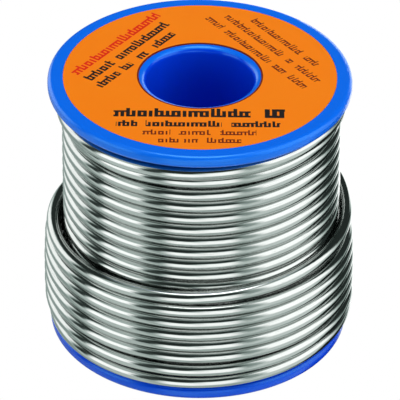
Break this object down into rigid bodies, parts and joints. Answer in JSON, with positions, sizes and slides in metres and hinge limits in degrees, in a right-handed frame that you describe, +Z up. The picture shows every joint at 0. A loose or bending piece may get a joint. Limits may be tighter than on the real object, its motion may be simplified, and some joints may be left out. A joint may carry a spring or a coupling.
{
  "type": "solder wire spool",
  "caption": "Small spool with round flanges, a ring label on its upper face and a through bore, wound with thick solder wire that is one layer deeper in its lower half.",
  "frame": {"origin": "centre of the lower flange's outer face, on the spindle bore's axis", "axes": "+Z up along the bore axis, from the lower flange to the labelled one; +X and +Y span the base; the label's main block of print faces -Y"},
  "size_m": [0.0466, 0.0466, 0.0428],
  "materials": {
    "spool_plastic": "glossy saturated blue moulded plastic",
    "label_paper": "satin printed orange paper",
    "solder": "bright drawn tin solder, fine marks along the wire"
  },
  "bodies": {
    "root": {"spool_core": "spool_plastic", "spool_cap": "spool_plastic", "face_label": "label_paper", "solder_layer_1": "solder", "solder_layer_2": "solder", "solder_layer_3": "solder", "solder_layer_4": "solder", "solder_layer_5": "solder", "solder_layer_6": "solder", "solder_start": "solder", "solder_end": "solder"}
  },
  "joints": []
}
